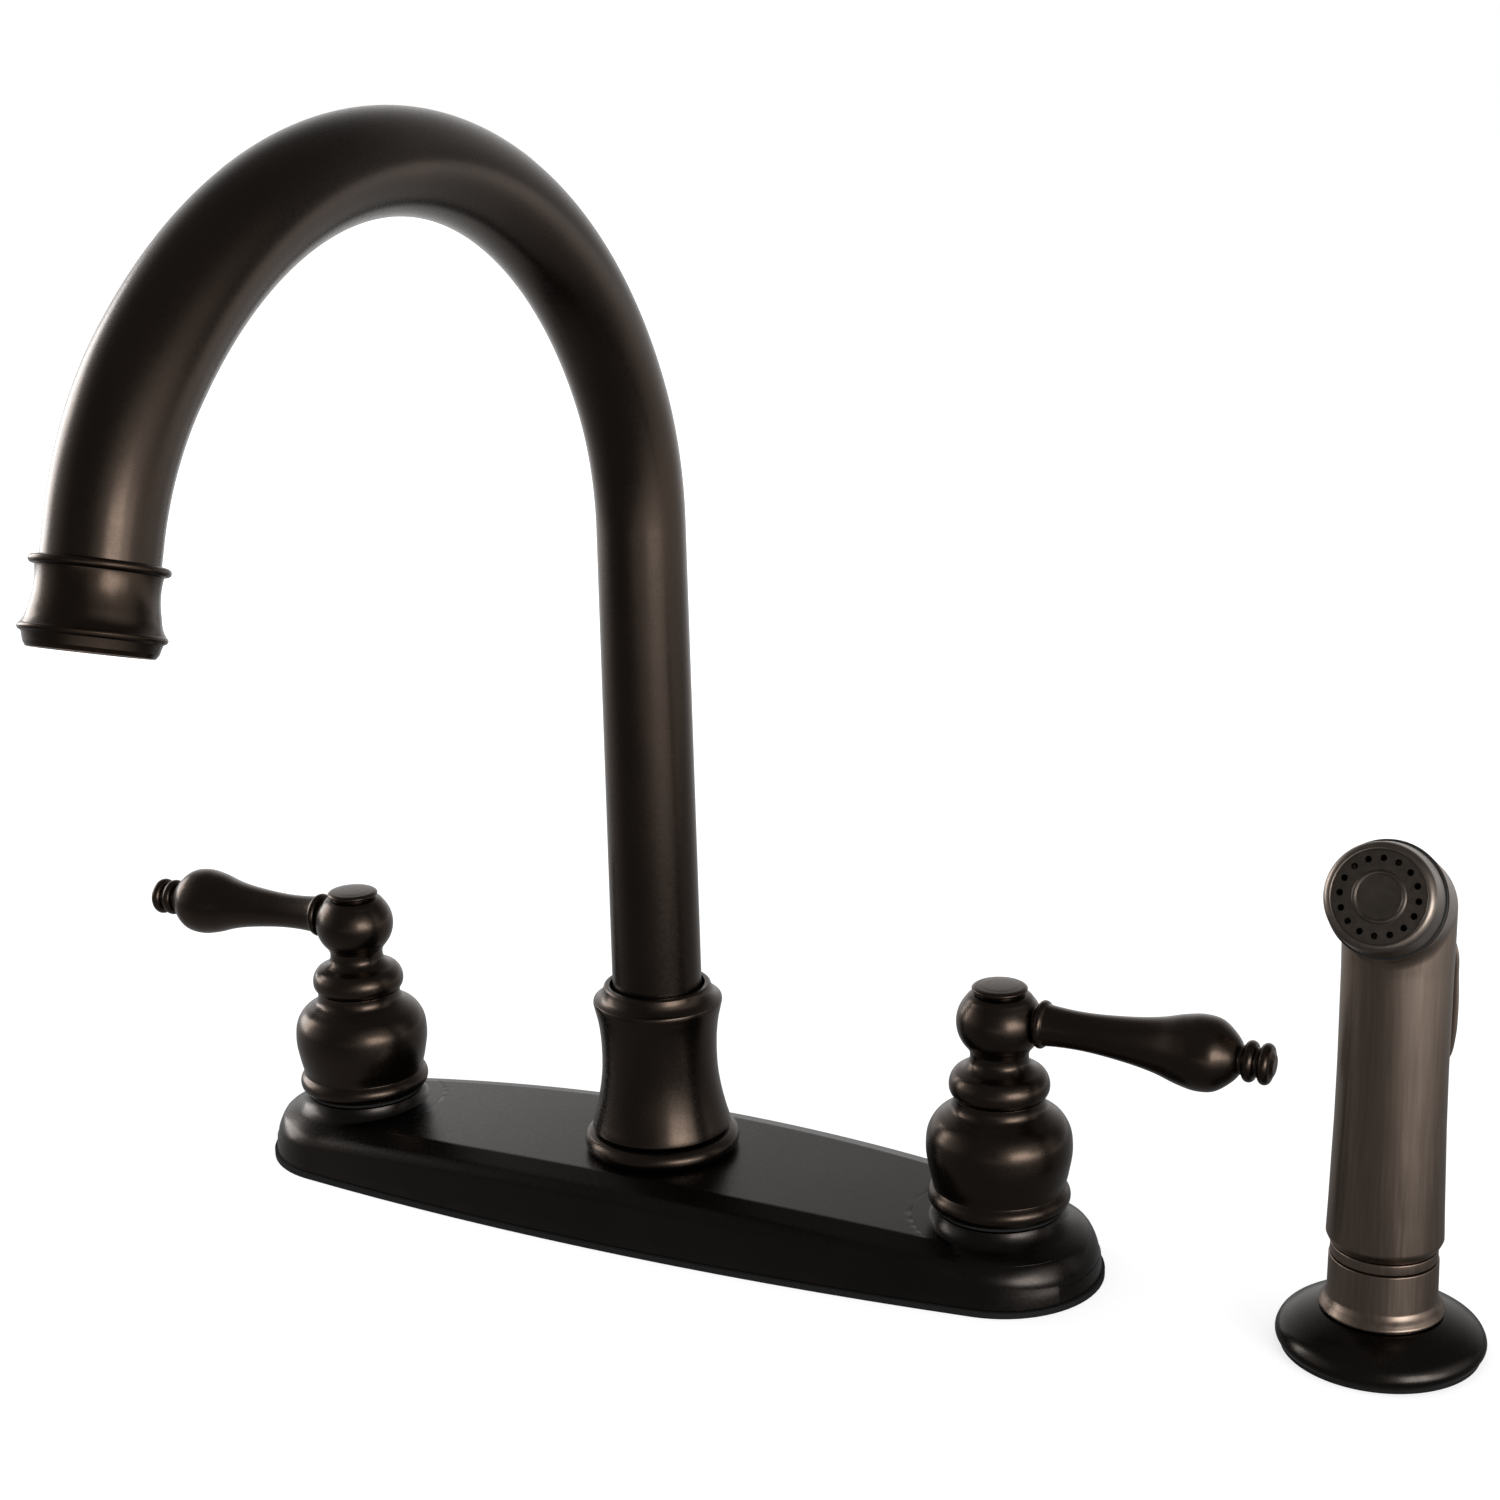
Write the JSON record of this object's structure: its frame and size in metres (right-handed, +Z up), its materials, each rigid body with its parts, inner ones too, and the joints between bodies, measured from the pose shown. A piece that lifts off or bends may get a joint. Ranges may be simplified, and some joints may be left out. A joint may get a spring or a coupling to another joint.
{
  "type": "kitchen faucet",
  "caption": "Deck mounted kitchen faucet with turned lever handles, a crowned deck plate, a high arched swivel spout and a separate hand spray in its holder.",
  "frame": {"origin": "on the spout's swivel axis at the sink deck, the plane that the gaskets rest on", "axes": "+X runs from the hot handle to the cold handle and on to the hand spray, -Y is the front, where the spout points, +Z is up"},
  "size_m": [0.4035, 0.2627, 0.3584],
  "materials": {
    "bronze_metal": "oil rubbed bronze, satin",
    "bronze_dark": "oil rubbed bronze plating, satin",
    "bronze_button": "oil rubbed bronze, satin",
    "bronze_plastic": "bronze plated plastic, satin",
    "satin_plastic": "bronze plated plastic, satin",
    "black_plastic": "matt black",
    "brass": "machined",
    "copper": "drawn tube",
    "white_plastic": "moulded",
    "ceramic": "lapped ceramic",
    "steel": "stainless",
    "rubber": "matt black"
  },
  "bodies": {
    "fixture": {"deck_plate": "bronze_metal", "deck_gasket": "rubber", "centre_body": "brass", "diverter_seat": "brass", "diverter_spring": "steel", "hot_valve_body": "brass", "cold_valve_body": "brass", "crossover_tubes": "copper", "hot_cartridge": "white_plastic", "cold_cartridge": "white_plastic", "fixed_discs": "ceramic", "seat_seals": "rubber", "bell_seals": "rubber", "hot_bell": "bronze_metal", "cold_bell": "bronze_metal", "shank_washers": "steel", "shank_nuts": "white_plastic", "spout_base_ring": "bronze_metal", "spout_collar": "bronze_metal", "holder_base": "bronze_dark", "holder_gasket": "rubber", "spray_holder": "bronze_plastic", "holder_washer": "white_plastic", "holder_nut": "white_plastic"},
    "spout": {"spout_tube": "bronze_metal", "spout_spigot": "brass", "spout_o_rings": "rubber", "spout_retainer": "black_plastic", "aerator_housing": "bronze_metal", "aerator_washer": "rubber", "aerator_insert": "black_plastic"},
    "hot_handle": {"hot_handle_hub": "bronze_metal", "hot_lever": "bronze_metal", "hot_index_button": "bronze_button", "hot_handle_screw": "steel", "hot_stem": "brass", "hot_moving_disc": "ceramic"},
    "cold_handle": {"cold_handle_hub": "bronze_metal", "cold_lever": "bronze_metal", "cold_index_button": "bronze_button", "cold_handle_screw": "steel", "cold_stem": "brass", "cold_moving_disc": "ceramic"},
    "diverter": {"diverter_poppet": "white_plastic"},
    "spray_coupling": {"spray_coupling": "bronze_plastic", "coupling_o_ring": "rubber"},
    "hand_spray": {"spray_grip": "bronze_plastic", "spray_seam_ring": "black_plastic", "spray_bezel": "satin_plastic", "spray_face": "satin_plastic", "thumb_pin": "steel", "plunger_gland": "black_plastic", "plunger_spring": "steel"},
    "thumb_lever": {"thumb_lever": "bronze_plastic"},
    "plunger": {"spray_plunger": "brass"}
  },
  "joints": [
    {"name": "spout_swivel", "type": "hinge", "parent": "fixture", "child": "spout", "pos_m": [0, 0, 0.0405], "axis": [0, 0, 1], "continuous": true},
    {"name": "hot_handle_turn", "type": "hinge", "parent": "fixture", "child": "hot_handle", "pos_m": [-0.1016, 0, 0.05], "axis": [0, 0, 1], "range_deg": [0, 90]},
    {"name": "cold_handle_turn", "type": "hinge", "parent": "fixture", "child": "cold_handle", "pos_m": [0.1016, 0, 0.05], "axis": [0, 0, 1], "range_deg": [-90, 0]},
    {"name": "diverter_lift", "type": "slide", "parent": "fixture", "child": "diverter", "axis": [0, 0, 1], "range_m": [0, 0.0025], "deforming": ["diverter_spring"]},
    {"name": "spray_lift", "type": "slide", "parent": "fixture", "child": "spray_coupling", "axis": [0, 0, 1], "range_m": [0, 0.06]},
    {"name": "spray_swivel", "type": "hinge", "parent": "spray_coupling", "child": "hand_spray", "pos_m": [0.2032, 0, 0.0283], "axis": [0, 0, 1], "continuous": true},
    {"name": "thumb_press", "type": "hinge", "parent": "hand_spray", "child": "thumb_lever", "pos_m": [0.2032, 0.01626, 0.11476], "axis": [-1, 0, 0], "range_deg": [0, 5], "stiffness_Nm_per_rad": 3, "springref_deg": -1.72},
    {"name": "plunger_slide", "type": "slide", "parent": "hand_spray", "child": "plunger", "axis": [0, -1, 0], "range_m": [0, 0.00209], "deforming": ["plunger_spring"]}
  ],
  "couplings": [
    {"joint": "thumb_press", "follows": "plunger_slide", "rad_per_m": 41.667}
  ]
}
